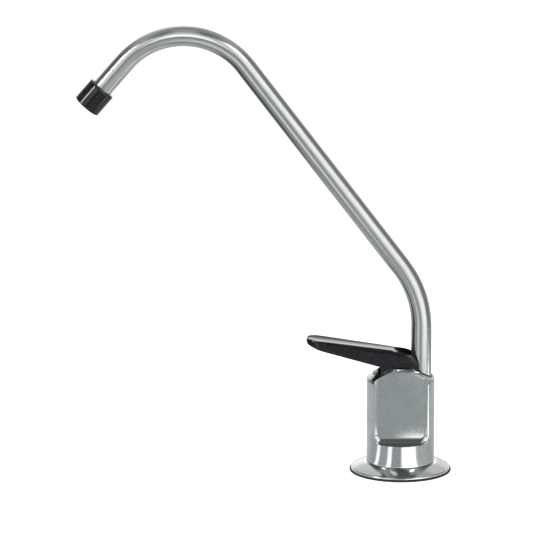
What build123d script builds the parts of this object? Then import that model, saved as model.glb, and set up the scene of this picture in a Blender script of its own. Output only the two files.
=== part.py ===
from build123d import *
import os
from math import asin, cos, pi, radians, sin, tan

os.makedirs("parts", exist_ok=True)

# Drinking-water faucet with a long-reach swivel spout and a press-down, flip-up lever.
# +Z is up, the deck is the plane z = 0, the shank runs down the Z axis and the spout reaches
# out over the sink towards -Y. All lengths are millimetres, all angles degrees.

# Fits and clearances
running_gap = 0.05
seated_gap = 0.1
loose_gap = 0.2
ring_gap = 0.02
overrun = 2.0

# Deck gasket and escutcheon
gasket_radius = 23.8
gasket_thickness = 1.0
gasket_edge = 0.3
plate_radius = 23.2
plate_thickness = 1.2
plate_foot_width = 1.0
plate_rim_height = 0.7
plate_rim_round = 0.25
plate_flat_radius = 17.0
plate_lip_width = 0.75
plate_lip_height = 0.4
plate_crown = 0.2
plate_rise = 1.7

# Body
body_radius = 15.875
body_shoulder_height = 40.9
body_cone_height = 5.6
body_top_radius = 7.9
body_foot_round = 0.3
body_shoulder_round = 0.35
pocket_flat_offset = 9.2
pocket_half_width = 13.4
pocket_ledge_height = 11.0
pocket_cove_radius = 2.7
pocket_corner_radius = 4.4
slot_half_width = 6.35
slot_front = 13.0
slot_rear = 14.9
slot_corner_radius = 4.0
slot_depth = 11.9

# Valve chamber, seat and water ways in the body
chamber_offset = 3.0
chamber_radius = 5.6
chamber_floor_height = 13.6
seat_lip_outer_radius = 3.1
seat_lip_inner_radius = 2.0
seat_lip_height = 0.8
socket_floor_height = 15.6
port_radius = 1.5
port_lean = 30.0
inlet_room = 1.0

# Shank and the deck hardware
shank_radius = 5.556
shank_engagement = 9.1
shank_length_below_deck = 54.0
shank_bore_radius = 2.4
shank_chamfer = 0.6
supply_tube_radius = 3.175
supply_depth = 13.0
shank_ring_groove = 1.55
shank_ring_section = 0.85
deck_thickness = 12.0
washer_flange_radius = 15.0
washer_flange_thickness = 2.5
washer_collar_radius = 8.5
washer_collar_height = 3.0
washer_rib_count = 12
washer_rib_width = 1.2
washer_rib_depth = 1.0
star_radius = 9.6
star_thickness = 0.9
star_tooth_count = 12
star_tooth_depth = 1.8
star_notch_width = 1.7
nut_across_flats = 17.5
nut_thickness = 5.0
nut_chamfer = 0.8
coupling_across_flats = 15.9
coupling_length = 13.0
coupling_wall = 2.6
coupling_engagement = 6.0
sleeve_wall = 1.6
sleeve_taper = 1.1

# Spout tube, its nose in the socket and its tip
spout_offset = 9.52
tube_radius = 4.7625
tube_wall = 0.8
tube_foot_depth = 3.5
lower_corner_height = 81.1
diagonal_length = 179.4
diagonal_lean = 37.35
outlet_droop = 49.2
outlet_leg_length = 68.6
lower_bend_radius = 47.2
upper_bend_radius = 36.0
nose_length = 9.5
nose_bore_radius = 2.6
nose_spigot_length = 7.0
nose_groove_drops = (7.6, 4.5)
o_ring_section = 0.78
o_ring_room = 1.9
nose_groove_radius = 3.18
snap_ring_drop = 1.5
snap_ring_thickness = 0.9
snap_ring_outer_radius = 5.3
snap_ring_inner_radius = 4.0
snap_ring_mouth = 50.0
tip_radius = 6.55
tip_length = 11.5
tip_lip_length = 2.8
tip_bore_radius = 3.97
tip_top_round = 0.9
tip_end_round = 0.45

# Slot cover
cover_plate_thickness = 1.5
cover_front_length = 2.3
cover_rear_start = 10.2

# Bonnet nut and its seals
bonnet_head_height = 5.2
bonnet_head_radius = 6.28
bonnet_half_flats = 4.9
bonnet_head_chamfer = 0.3
bonnet_spigot_length = 8.5
bonnet_groove_radius = 4.5
bonnet_groove_room = 1.4
bonnet_groove_drop = 4.0
bonnet_ring_section = 0.53
stem_groove_radius = 3.7
stem_groove_room = 1.6
stem_groove_drop = 1.2
stem_ring_section = 0.6
spring_pocket_radius = 4.2
spring_pocket_depth = 3.5

# Valve stem, seat washer, screw and spring
stem_radius = 2.4
stem_top_above_pin = 2.1
cup_radius = 4.3
cup_wall = 0.65
cup_height = 3.4
cup_depth = 1.3
seat_washer_thickness = 2.0
screw_head_radius = 1.5
screw_head_height = 0.9
screw_radius = 0.9
screw_length = 4.0
spring_mean_radius = 3.4
spring_wire_radius = 0.4
spring_turns = 6

# Lever and its pin
pin_radius = 1.1
pin_length = 12.2
pin_height_above_seat = 4.0
cam_gap = 0.1
press_angle = 12.0
flip_angle = 62.0
valve_lift = 1.2
lever_heel_half_width = 6.2
lever_tip_half_width = 7.0
lever_top_half_width_at_tip = 6.5
lever_top_half_width_at_heel = 3.4
lever_shoulder_at_tip = 0.8
lever_shoulder_at_heel = 3.2
lever_waist_share = 0.42
lever_dish_at_tip = 0.7
lever_dish_at_heel = 0.15
lever_reach = 41.2
lever_heel_reach = 10.9
lever_tip_height = 14.6
lever_top_height_at_heel = 9.0
lever_nose_drop = 1.4
lever_nose_setback = 0.9
lever_chin_reach = 33.9
lever_chin_height = 9.1
lever_brow_reach = 6.9
lever_brow_height = 1.5
toe_reach = 6.2
heel_crown_reach = 1.0
heel_crown_shoulder_reach = 8.2
heel_crown_shoulder_height = 7.3
heel_rear_height = 3.0
heel_foot_reach = 10.5
heel_foot_height = -0.3
tube_side_gap = 0.3
tube_front_gap = 0.16
stem_slot_half_width = 2.6
stem_slot_turn_step = 2
stem_slot_pocket_radius = 3.4
core_side_wall = 1.9
core_top_wall = 2.2
core_rib_half_width = 0.7
core_front_reach = 36.0
core_rear_reach = 9.5

# Heights that follow from the pieces stacked on each other
plate_top = gasket_thickness + plate_rise + plate_thickness
body_top = plate_top + body_shoulder_height + body_cone_height
slot_floor = body_top - slot_depth
cover_plate_top = slot_floor + cover_plate_thickness
cam_seat = cover_plate_top + bonnet_head_height
pin_height = cam_seat + cam_gap + pin_height_above_seat
chamber_floor = plate_top + chamber_floor_height
seat_height = chamber_floor + seat_lip_height
bonnet_foot = cover_plate_top - bonnet_spigot_length
spring_ceiling = bonnet_foot + spring_pocket_depth
cup_top = seat_height + seat_washer_thickness - cup_depth + cup_height
shank_top = plate_top + shank_engagement
shank_bottom = -shank_length_below_deck
socket_radius = tube_radius + running_gap
socket_floor = plate_top + socket_floor_height
tube_foot = slot_floor - tube_foot_depth
nose_foot = tube_foot - nose_length
nose_grooves = [tube_foot - drop for drop in nose_groove_drops]
snap_ring_middle = tube_foot - snap_ring_drop
coupling_bottom = shank_bottom - (coupling_length - coupling_engagement)
sleeve_length = shank_bottom - coupling_bottom - coupling_wall - ring_gap
cam_rise_per_radian = valve_lift / radians(flip_angle)


def tube_piece(outer_radius, inner_radius, bottom, top, y=0):
    """A plain ring between two heights, standing at y behind the Z axis."""
    height = top - bottom
    blank = Cylinder(outer_radius, height, align=(Align.CENTER, Align.CENTER, Align.MIN))
    bore = Cylinder(inner_radius, height + 2 * overrun, align=(Align.CENTER, Align.CENTER, Align.MIN))
    return Pos(0, y, bottom) * (blank - Pos(0, 0, -overrun) * bore)


def rod_piece(radius, bottom, top, y=0):
    """A plain round rod between two heights."""
    blank = Cylinder(radius, top - bottom, align=(Align.CENTER, Align.CENTER, Align.MIN))
    return Pos(0, y, bottom) * blank


def o_ring(inner_radius, section_radius, height, y=0):
    """A round-section seal that lies at one height."""
    return Pos(0, y, height) * Torus(inner_radius + section_radius, section_radius)


def rims(piece, radius):
    """The round edges of one radius that lie level, from the lowest to the highest."""
    found = [edge for edge in piece.edges().filter_by(GeomType.CIRCLE)
             if abs(edge.radius - radius) < ring_gap and edge.bounding_box().size.Z < ring_gap]
    return ShapeList(found).sort_by(Axis.Z)


def slot_outline(clearance):
    """The outline of the slot in the top of the body, drawn in by a clearance."""
    half = slot_half_width - clearance
    front = slot_front - clearance
    rear = slot_rear - clearance
    middle = (rear - front) / 2
    corner = slot_corner_radius - clearance
    return Pos(0, middle) * RectangleRounded(2 * half, front + rear, corner)


def cone_top(clearance=0):
    """The round envelope of the body: a bar with a truncated cone on top."""
    outline = Polyline(
        (0, plate_top),
        (body_radius, plate_top),
        (body_radius, body_top - body_cone_height - clearance),
        (body_top_radius, body_top - clearance),
        (0, body_top - clearance),
        close=True,
    )
    return revolve(Plane.XZ * make_face(outline), Axis.Z)


def make_deck_gasket():
    hole = shank_radius + loose_gap
    hub_radius = plate_flat_radius - plate_thickness
    disc = tube_piece(gasket_radius, hole, 0, gasket_thickness)
    disc = fillet(rims(disc, gasket_radius), gasket_edge)
    hub = tube_piece(hub_radius, hole, gasket_thickness - gasket_edge, gasket_thickness + plate_rise)
    return disc + hub


def make_escutcheon():
    """A stamped plate: a flat middle, a locating lip round the body and a domed skirt."""
    hole = shank_radius + loose_gap
    under = plate_top - plate_thickness
    lip_inner = body_radius + loose_gap
    lip_top = plate_top + plate_lip_height
    rim_top = gasket_thickness + plate_rim_height
    lip_outer = lip_inner + plate_lip_width
    crown_radius = (lip_outer + plate_radius) / 2
    crown_height = (lip_top + rim_top) / 2 + plate_crown
    skirt_foot = plate_radius - plate_foot_width
    outline = (
        Polyline((plate_radius, rim_top), (plate_radius, gasket_thickness), (skirt_foot, gasket_thickness),
                 (plate_flat_radius, under), (hole, under), (hole, plate_top), (lip_inner, plate_top),
                 (lip_inner, lip_top), (lip_outer, lip_top))
        + ThreePointArc((lip_outer, lip_top), (crown_radius, crown_height), (plate_radius, rim_top))
    )
    plate = revolve(Plane.XZ * make_face(outline), Axis.Z)
    return fillet(rims(plate, plate_radius)[-1], plate_rim_round)


def milled_pocket():
    """One pocket cutter: flat bottom, open at the top, with a cove all round."""
    ledge = plate_top + pocket_ledge_height
    depth = body_radius - pocket_flat_offset + overrun
    height = body_top - ledge + overrun
    block = Box(depth, 2 * pocket_half_width, height, align=(Align.MIN, Align.CENTER, Align.MIN))
    block = Pos(pocket_flat_offset, 0, ledge) * block
    bottom_corners = block.edges().filter_by(Axis.X).group_by(Axis.Z)[0]
    block = fillet(bottom_corners, pocket_corner_radius)
    floor_face = block.faces().sort_by(Axis.X)[0]
    top_edge = floor_face.edges().sort_by(Axis.Z)[-1]
    coved = [edge for edge in floor_face.edges() if edge != top_edge]
    return fillet(coved, pocket_cove_radius)


def snap_groove(clearance):
    """The ring-shaped room in the socket wall that the spout's snap ring springs into."""
    half = snap_ring_thickness / 2 + clearance
    outer = snap_ring_outer_radius + seated_gap
    return tube_piece(outer, tube_radius - seated_gap, snap_ring_middle - half, snap_ring_middle + half,
                      spout_offset)


def make_body():
    body = cone_top()
    body = fillet(rims(body, body_radius)[0], body_foot_round)
    body = fillet(rims(body, body_radius)[-1], body_shoulder_round)
    pocket = milled_pocket()
    body -= pocket
    body -= mirror(pocket, Plane.YZ)
    body -= extrude(Plane.XY.offset(slot_floor) * slot_outline(0), slot_depth + overrun)
    body -= rod_piece(chamber_radius, chamber_floor, slot_floor + overrun, -chamber_offset)
    body += tube_piece(seat_lip_outer_radius, seat_lip_inner_radius, chamber_floor, seat_height, -chamber_offset)
    inlet_top = shank_top + inlet_room
    body -= rod_piece(seat_lip_inner_radius, inlet_top - overrun, seat_height + overrun, -chamber_offset)
    body -= rod_piece(shank_radius + running_gap, plate_top - overrun, inlet_top)
    ring_room = shank_radius + 2 * shank_ring_section
    body -= rod_piece(ring_room, plate_top - overrun, plate_top + shank_ring_groove)
    body -= rod_piece(socket_radius, socket_floor, slot_floor + overrun, spout_offset)
    body -= snap_groove(running_gap)
    return body - water_port()


def water_port():
    """The slanted drilling from the mouth of the valve chamber to the foot of the spout socket."""
    aim_y = spout_offset - socket_radius / 2
    run = (slot_floor + overrun - socket_floor) / cos(radians(port_lean))
    drill = Cylinder(port_radius, run, align=(Align.CENTER, Align.CENTER, Align.MIN))
    return Pos(0, aim_y, socket_floor + port_radius) * Rot(port_lean, 0, 0) * drill


def make_shank():
    blank = rod_piece(shank_radius, shank_bottom, shank_top)
    blank = chamfer(rims(blank, shank_radius), shank_chamfer)
    blank -= rod_piece(shank_bore_radius, shank_bottom - overrun, shank_top + overrun)
    supply_radius = supply_tube_radius + running_gap
    return blank - rod_piece(supply_radius, shank_bottom - overrun, shank_bottom + supply_depth)


def make_shank_o_ring():
    section = shank_ring_section - ring_gap
    return o_ring(shank_radius + ring_gap, section * shank_ring_groove / (2 * shank_ring_section),
                  plate_top + shank_ring_groove / 2)


def make_locating_washer():
    """A moulded washer: flange, centring collar and short ribs round the collar."""
    hole = shank_radius + loose_gap
    top = -deck_thickness
    bottom = top - washer_flange_thickness
    washer = tube_piece(washer_flange_radius, hole, bottom, top)
    collar = tube_piece(washer_collar_radius, hole, top - gasket_edge, top + washer_collar_height)
    washer = fillet(rims(washer, washer_flange_radius), gasket_edge)
    rib_height = washer_collar_height / 2
    reach = washer_collar_radius + washer_rib_depth
    rib = Box(reach, washer_rib_width, rib_height + gasket_edge, align=(Align.MIN, Align.CENTER, Align.MIN))
    ribs = [Rot(0, 0, 360 / washer_rib_count * i) * Pos(0, 0, top - gasket_edge) * rib
            for i in range(washer_rib_count)]
    washer = washer + collar + ribs
    return washer - rod_piece(hole, bottom - overrun, top + washer_collar_height + overrun)


def make_star_washer():
    hole = shank_radius + running_gap
    top = -deck_thickness - washer_flange_thickness
    washer = tube_piece(star_radius, hole, top - star_thickness, top)
    notch = Box(star_tooth_depth + overrun, star_notch_width, star_thickness + 2 * overrun,
                align=(Align.MIN, Align.CENTER, Align.CENTER))
    start = star_radius - star_tooth_depth
    middle = top - star_thickness / 2
    for i in range(star_tooth_count):
        washer -= Rot(0, 0, 360 / star_tooth_count * i) * Pos(start, 0, middle) * notch
    return washer


def hex_blank(across_flats, bottom, top, corner_chamfer):
    """A hexagon bar whose corners are turned down at both ends."""
    corner = across_flats / 2 / cos(radians(30))
    hexagon = extrude(Plane.XY.offset(bottom) * RegularPolygon(corner, 6), top - bottom)
    turned = rod_piece(corner, bottom, top)
    turned = chamfer(rims(turned, corner), corner_chamfer)
    return hexagon & turned


def make_mounting_nut():
    top = -deck_thickness - washer_flange_thickness - star_thickness
    nut = hex_blank(nut_across_flats, top - nut_thickness, top, nut_chamfer)
    return nut - rod_piece(shank_radius + running_gap, top - nut_thickness - overrun, top + overrun)


def make_compression_nut():
    top = shank_bottom + coupling_engagement
    nut = hex_blank(coupling_across_flats, coupling_bottom, top, nut_chamfer)
    nut -= rod_piece(shank_radius + running_gap, coupling_bottom + coupling_wall, top + overrun)
    return nut - rod_piece(supply_tube_radius + running_gap, coupling_bottom - overrun, top + overrun)


def make_tube_sleeve():
    """A tapered ferrule that the compression nut squeezes on the supply tube."""
    bore = supply_tube_radius + running_gap
    bottom = coupling_bottom + coupling_wall
    top = bottom + sleeve_length
    outline = Polyline(
        (bore, bottom),
        (bore + sleeve_wall, bottom),
        (bore + sleeve_wall, bottom + sleeve_length / 3),
        (bore + sleeve_wall - sleeve_taper, top),
        (bore, top),
        close=True,
    )
    return revolve(Plane.XZ * make_face(outline), Axis.Z)


def spout_path():
    """The centreline of the spout: foot, slanted rise, drooping outlet, joined by two bends."""
    lean = radians(diagonal_lean)
    droop = radians(outlet_droop)
    foot = (0, spout_offset, tube_foot)
    low = (0, spout_offset, plate_top + lower_corner_height)
    high = (0, low[1] - diagonal_length * sin(lean), low[2] + diagonal_length * cos(lean))
    end = (0, high[1] - outlet_leg_length * cos(droop), high[2] - outlet_leg_length * sin(droop))
    return FilletPolyline(foot, low, high, end, radius=[lower_bend_radius, upper_bend_radius])


def make_spout_tube():
    path = spout_path()
    section = Plane.XY.offset(tube_foot) * Pos(0, spout_offset) * Circle(tube_radius)
    bore = Plane.XY.offset(tube_foot) * Pos(0, spout_offset) * Circle(tube_radius - tube_wall)
    return sweep(section - bore, path)


def make_spout_nose():
    """The turned piece in the foot of the tube, with two seal grooves and a groove for the snap ring."""
    nose = rod_piece(tube_radius, nose_foot, tube_foot, spout_offset)
    nose += rod_piece(tube_radius - tube_wall, tube_foot, tube_foot + nose_spigot_length, spout_offset)
    for middle in nose_grooves:
        nose -= tube_piece(tube_radius + overrun, nose_groove_radius, middle - o_ring_room / 2,
                           middle + o_ring_room / 2, spout_offset)
    half = snap_ring_thickness / 2 + running_gap
    nose -= tube_piece(tube_radius + overrun, snap_ring_inner_radius - running_gap, snap_ring_middle - half,
                       snap_ring_middle + half, spout_offset)
    top = tube_foot + nose_spigot_length + overrun
    return nose - rod_piece(nose_bore_radius, nose_foot - overrun, top, spout_offset)


def make_spout_o_ring(height):
    return o_ring(nose_groove_radius + ring_gap, o_ring_section, height, spout_offset)


def make_spout_snap_ring():
    """A split ring: it rests in the socket's groove and the nose turns inside it."""
    half = snap_ring_thickness / 2
    ring = tube_piece(snap_ring_outer_radius, snap_ring_inner_radius, snap_ring_middle - half,
                      snap_ring_middle + half, spout_offset)
    mouth_half = snap_ring_outer_radius * sin(radians(snap_ring_mouth / 2))
    mouth = Box(snap_ring_outer_radius + overrun, 2 * mouth_half, snap_ring_thickness + overrun,
                align=(Align.MIN, Align.CENTER, Align.CENTER))
    return ring - Pos(0, spout_offset, snap_ring_middle) * mouth


def make_spout_tip():
    """The press-on end cap: it slides over the tube up to an inner lip that forms the outlet."""
    reach = tip_length - tip_lip_length
    hole = tube_radius + running_gap
    outline = Polyline(
        (hole, 0),
        (tip_radius, 0),
        (tip_radius, tip_length),
        (tip_bore_radius, tip_length),
        (tip_bore_radius, reach),
        (hole, reach),
        close=True,
    )
    tip = revolve(Plane.XZ * make_face(outline), Axis.Z)
    tip = fillet(rims(tip, tip_radius)[0], tip_top_round)
    tip = fillet(rims(tip, tip_radius)[-1], tip_end_round)
    path = spout_path()
    end = path @ 1
    along = path % 1
    place = Plane(origin=end - along * reach, x_dir=(1, 0, 0), z_dir=along)
    return place * tip


def make_slot_cover():
    """The moulded cover: a plate on the slot's floor with a raised front and a raised rear end."""
    plate = extrude(Plane.XY.offset(slot_floor) * slot_outline(seated_gap), slot_depth)
    plate = plate & cone_top(seated_gap)
    room = Box(2 * body_radius, cover_rear_start + slot_front - cover_front_length,
               slot_depth + overrun, align=(Align.CENTER, Align.MIN, Align.MIN))
    plate -= Pos(0, cover_front_length - slot_front, cover_plate_top) * room
    plate -= rod_piece(chamber_radius + seated_gap, slot_floor - overrun, cover_plate_top + overrun, -chamber_offset)
    return plate - rod_piece(socket_radius + seated_gap, slot_floor - overrun, body_top + overrun, spout_offset)


def make_bonnet_nut():
    """The nut that closes the valve chamber. Two wrench flats leave room for the lever's heel."""
    spigot_radius = chamber_radius - running_gap
    head = rod_piece(bonnet_head_radius, cover_plate_top, cam_seat)
    head = chamfer(rims(head, bonnet_head_radius)[-1], bonnet_head_chamfer)
    flats = Box(2 * bonnet_half_flats, 2 * body_radius, 2 * body_top)
    nut = (head & flats) + rod_piece(spigot_radius, bonnet_foot, cover_plate_top)
    nut -= rod_piece(stem_radius + running_gap, bonnet_foot - overrun, cam_seat + overrun)
    nut -= rod_piece(spring_pocket_radius, bonnet_foot - overrun, spring_ceiling)
    outer_groove = cover_plate_top - bonnet_groove_drop
    nut -= tube_piece(chamber_radius, bonnet_groove_radius, outer_groove - bonnet_groove_room, outer_groove)
    inner_groove = cover_plate_top - stem_groove_drop
    nut -= rod_piece(stem_groove_radius, inner_groove, inner_groove + stem_groove_room)
    return Pos(0, -chamber_offset, 0) * nut


def make_bonnet_o_ring():
    middle = cover_plate_top - bonnet_groove_drop - bonnet_groove_room / 2
    return o_ring(bonnet_groove_radius + ring_gap, bonnet_ring_section, middle, -chamber_offset)


def make_stem_o_ring():
    middle = cover_plate_top - stem_groove_drop + stem_groove_room / 2
    return o_ring(stem_radius + running_gap, stem_ring_section, middle, -chamber_offset)


def make_valve_stem():
    """A rod with a cup for the seat washer at its foot and a cross hole for the lever's pin."""
    cup_bottom = cup_top - cup_height
    stem = rod_piece(cup_radius, cup_bottom, cup_top)
    stem += rod_piece(stem_radius, cup_top, pin_height + stem_top_above_pin)
    washer_top = seat_height + seat_washer_thickness
    stem -= rod_piece(cup_radius - cup_wall, cup_bottom - overrun, washer_top)
    stem -= rod_piece(screw_radius, cup_bottom - overrun, seat_height + screw_length)
    cross_hole = Rot(0, 90, 0) * Cylinder(pin_radius + running_gap, 2 * body_radius)
    stem -= Pos(0, 0, pin_height) * cross_hole
    return Pos(0, -chamber_offset, 0) * stem


def make_seat_washer():
    outer = cup_radius - cup_wall - ring_gap
    return tube_piece(outer, screw_radius, seat_height, seat_height + seat_washer_thickness, -chamber_offset)


def make_washer_screw():
    head = rod_piece(screw_head_radius, seat_height - screw_head_height, seat_height)
    head = fillet(rims(head, screw_head_radius)[0], screw_head_height / 3)
    body = rod_piece(screw_radius, seat_height, seat_height + screw_length)
    return Pos(0, -chamber_offset, 0) * (head + body)


def make_stem_spring():
    """The closing spring: one unbroken wire between the stem's cup and the bonnet nut."""
    start = cup_top + spring_wire_radius + ring_gap
    height = spring_ceiling - spring_wire_radius - ring_gap - start
    pitch = height / spring_turns
    print("spring: least gap between turns", round(pitch - 2 * spring_wire_radius, 3))
    coil = Helix(pitch, height, spring_mean_radius)
    section = Plane(origin=coil @ 0, z_dir=coil % 0) * Circle(spring_wire_radius)
    return Pos(0, -chamber_offset, start) * sweep(section, coil, is_frenet=True)


def make_lever_pin():
    pin = Rot(0, 90, 0) * Cylinder(pin_radius, pin_length)
    return Pos(0, -chamber_offset, pin_height) * pin


def cam_point(turn):
    """A point of the cam, which lifts the pin evenly while the lever turns up by this many degrees."""
    angle = radians(turn)
    rise = pin_height_above_seat + cam_rise_per_radian * angle
    along = cam_rise_per_radian
    return (rise * sin(angle) + along * cos(angle), along * sin(angle) - rise * cos(angle))


def lever_side_face():
    """The lever seen from the side, with the pin at the origin and the tip towards -Y."""
    toe = (-toe_reach, -pin_height_above_seat)
    brow = (-lever_brow_reach, lever_brow_height)
    chin = (-lever_chin_reach, lever_chin_height)
    nose_low = (-lever_reach + lever_nose_setback, lever_tip_height - 2 * lever_nose_drop)
    nose = (-lever_reach, lever_tip_height - lever_nose_drop)
    nose_top = (-lever_reach + lever_nose_setback, lever_tip_height)
    crown = (heel_crown_reach, lever_top_height_at_heel)
    shoulder = (heel_crown_shoulder_reach, heel_crown_shoulder_height)
    rear = (lever_heel_reach, heel_rear_height)
    foot = (heel_foot_reach, heel_foot_height)
    outline = (
        Polyline(cam_point(0), toe, brow, chin, nose_low)
        + ThreePointArc(nose_low, nose, nose_top)
        + Line(nose_top, crown)
        + ThreePointArc(crown, shoulder, rear)
        + Polyline(rear, foot, cam_point(flip_angle))
        + ThreePointArc(cam_point(flip_angle), cam_point(flip_angle / 2), cam_point(0))
    )
    return make_face(outline)


def lever_section(share):
    """One cross-section of the lever: a dished top between rounded shoulders."""
    y = lever_heel_reach + overrun - share * (lever_heel_reach + lever_reach + 2 * overrun)
    top_slope = (lever_tip_height - lever_top_height_at_heel) / (lever_reach + heel_crown_reach)
    top = lever_top_height_at_heel + (heel_crown_reach - y) * top_slope
    flare = max(0, share - lever_waist_share) / (1 - lever_waist_share)
    half = lever_heel_half_width + flare * (lever_tip_half_width - lever_heel_half_width)
    top_half = lever_top_half_width_at_heel + share * (lever_top_half_width_at_tip - lever_top_half_width_at_heel)
    drop = lever_shoulder_at_heel + share * (lever_shoulder_at_tip - lever_shoulder_at_heel)
    bow = (half - top_half) / 3
    dish = lever_dish_at_heel + share * (lever_dish_at_tip - lever_dish_at_heel)
    bottom = -lever_heel_reach - overrun
    outline = (
        Polyline((-half, top - drop), (-half, bottom), (half, bottom), (half, top - drop))
        + ThreePointArc((half, top - drop), (half - bow, top - drop / 3), (top_half, top))
        + ThreePointArc((top_half, top), (0, top - dish), (-top_half, top))
        + ThreePointArc((-top_half, top), (bow - half, top - drop / 3), (-half, top - drop))
    )
    place = Plane(origin=(0, y, 0), x_dir=(1, 0, 0), z_dir=(0, -1, 0))
    return place * make_face(outline)


def lever_plan():
    """The lever seen from above, with its rounded tip."""
    heel = lever_heel_reach + overrun
    straight = -lever_reach + lever_tip_half_width
    half = lever_tip_half_width + overrun
    round_end = ThreePointArc((-lever_tip_half_width, straight), (0, -lever_reach), (lever_tip_half_width, straight))
    rest = Polyline((lever_tip_half_width, straight), (half, straight), (half, heel), (-half, heel),
                    (-half, straight), (-lever_tip_half_width, straight))
    height = 2 * (lever_tip_height + lever_heel_reach)
    return extrude(Plane.XY.offset(-height / 2) * make_face(round_end + rest), height)


def tube_trough():
    """What the spout tube needs in front of it and at its sides while the lever flips up."""
    reach = chamber_offset + spout_offset - tube_radius - tube_front_gap
    angle = radians(flip_angle)
    foot = pin_height_above_seat + valve_lift
    low_turn = angle - pi / 2 + asin((reach ** 2 - foot ** 2) ** 0.5 / reach)
    mid_turn = (low_turn + angle) / 2
    low = (reach * cos(low_turn), reach * sin(low_turn))
    mid = (reach * cos(mid_turn), reach * sin(mid_turn))
    high = (reach * cos(angle), reach * sin(angle))
    rise = lever_tip_height
    top = (high[0] - rise * tan(angle), high[1] + rise)
    far = lever_heel_reach + overrun
    fall = (far - low[0]) / tan(angle)
    outline = (
        Polyline(cam_point(flip_angle), low)
        + ThreePointArc(low, mid, high)
        + Polyline(high, top, (far, top[1]), (far, -far), (cam_point(flip_angle)[0], -far), cam_point(flip_angle))
    )
    half = tube_radius + tube_side_gap
    return extrude(Plane.YZ * make_face(outline), half, both=True)


def stem_slot():
    """Room for the stem in the lever's fork, from pressed down to flipped up."""
    reach = lever_heel_reach
    pocket = Circle(stem_slot_pocket_radius)
    half = stem_slot_half_width
    arm = Pos(reach / 2, 0) * Rectangle(reach, 2 * half)
    fan = pocket
    first_turn = -90 - int(press_angle)
    last_turn = int(flip_angle) - 90
    for turn in range(first_turn, last_turn + 1, stem_slot_turn_step):
        fan += Rot(0, 0, turn) * arm
    return extrude(Plane.YZ * fan, half, both=True)


def underside_core():
    """The moulding core under the paddle: two long hollows beside a middle rib."""
    slope = (lever_tip_height - lever_top_height_at_heel) / (lever_reach + heel_crown_reach)
    front_top = lever_tip_height - core_top_wall - (lever_reach - core_front_reach) * slope
    rear_top = lever_top_height_at_heel + (core_rear_reach + heel_crown_reach) * slope - core_top_wall
    side = make_face(Polyline((-core_front_reach, front_top), (-core_rear_reach, rear_top),
                              (-core_rear_reach, -toe_reach), (-core_front_reach, -toe_reach), close=True))
    core = extrude(Plane.YZ * side, lever_heel_half_width - core_side_wall, both=True)
    rib = extrude(Plane.YZ * side, core_rib_half_width, both=True)
    return core - rib


def make_lever():
    """The lever: a tapering paddle with a dished top, forked for the stem and for the spout tube."""
    blank = loft([lever_section(0), lever_section(lever_waist_share), lever_section(1)], ruled=True)
    side = extrude(Plane.YZ * lever_side_face(), lever_tip_half_width + overrun, both=True)
    lever = blank & side & lever_plan()
    lever -= underside_core()
    lever -= tube_trough()
    lever -= stem_slot()
    lever -= Rot(0, 90, 0) * Cylinder(pin_radius + running_gap, 2 * body_radius)
    return Pos(0, -chamber_offset, pin_height) * lever


pieces = {
    "body": make_body,
    "escutcheon": make_escutcheon,
    "deck_gasket": make_deck_gasket,
    "slot_cover": make_slot_cover,
    "bonnet_nut": make_bonnet_nut,
    "bonnet_o_ring": make_bonnet_o_ring,
    "stem_o_ring": make_stem_o_ring,
    "valve_stem": make_valve_stem,
    "seat_washer": make_seat_washer,
    "washer_screw": make_washer_screw,
    "stem_spring": make_stem_spring,
    "lever_pin": make_lever_pin,
    "lever": make_lever,
    "spout_tube": make_spout_tube,
    "spout_nose": make_spout_nose,
    "spout_o_ring_lower": lambda: make_spout_o_ring(nose_grooves[0]),
    "spout_o_ring_upper": lambda: make_spout_o_ring(nose_grooves[1]),
    "spout_snap_ring": make_spout_snap_ring,
    "spout_tip": make_spout_tip,
    "shank": make_shank,
    "shank_o_ring": make_shank_o_ring,
    "locating_washer": make_locating_washer,
    "star_washer": make_star_washer,
    "mounting_nut": make_mounting_nut,
    "compression_nut": make_compression_nut,
    "tube_sleeve": make_tube_sleeve,
}

for name, make in pieces.items():
    piece = make()
    print(name, len(piece.solids()), round(piece.volume, 2))
    export_step(piece, f"parts/{name}.step")
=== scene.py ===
import bmesh
import bpy
import numpy as np
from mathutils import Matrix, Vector


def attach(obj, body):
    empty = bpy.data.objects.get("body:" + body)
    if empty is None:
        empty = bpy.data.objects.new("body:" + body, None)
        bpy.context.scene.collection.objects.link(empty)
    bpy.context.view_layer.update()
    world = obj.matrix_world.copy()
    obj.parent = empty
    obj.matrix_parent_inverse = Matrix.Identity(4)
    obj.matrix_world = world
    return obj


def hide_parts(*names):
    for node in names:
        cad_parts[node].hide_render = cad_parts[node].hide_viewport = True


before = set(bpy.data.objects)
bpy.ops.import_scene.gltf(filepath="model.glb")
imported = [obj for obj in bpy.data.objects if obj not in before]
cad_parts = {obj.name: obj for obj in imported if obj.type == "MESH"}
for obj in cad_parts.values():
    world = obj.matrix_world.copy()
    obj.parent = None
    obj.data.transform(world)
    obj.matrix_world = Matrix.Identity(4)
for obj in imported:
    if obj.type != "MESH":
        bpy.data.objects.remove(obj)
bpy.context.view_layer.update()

mm = 0.001  # metres
weldReach = 0.0005  # mm

# Places and sizes that several pieces share, in millimetres: the axes of spout and valve, the
# heights of the gasket's and the plate's top, and the radius of the shank's hole in both.
shared = {"spoutY": 9.52, "valveY": -3.0, "gasketTop": 1.0, "plateTop": 3.9, "shankHole": 5.756}


# Mesh helpers. Points are in millimetres, and an array [i, j, 3] is a grid of points of a surface.

# Puts a mesh, a camera's lens or a light into the scene.
def addObject(name, data):
    obj = bpy.data.objects.new(name, data)
    bpy.context.scene.collection.objects.link(obj)
    return obj


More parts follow.
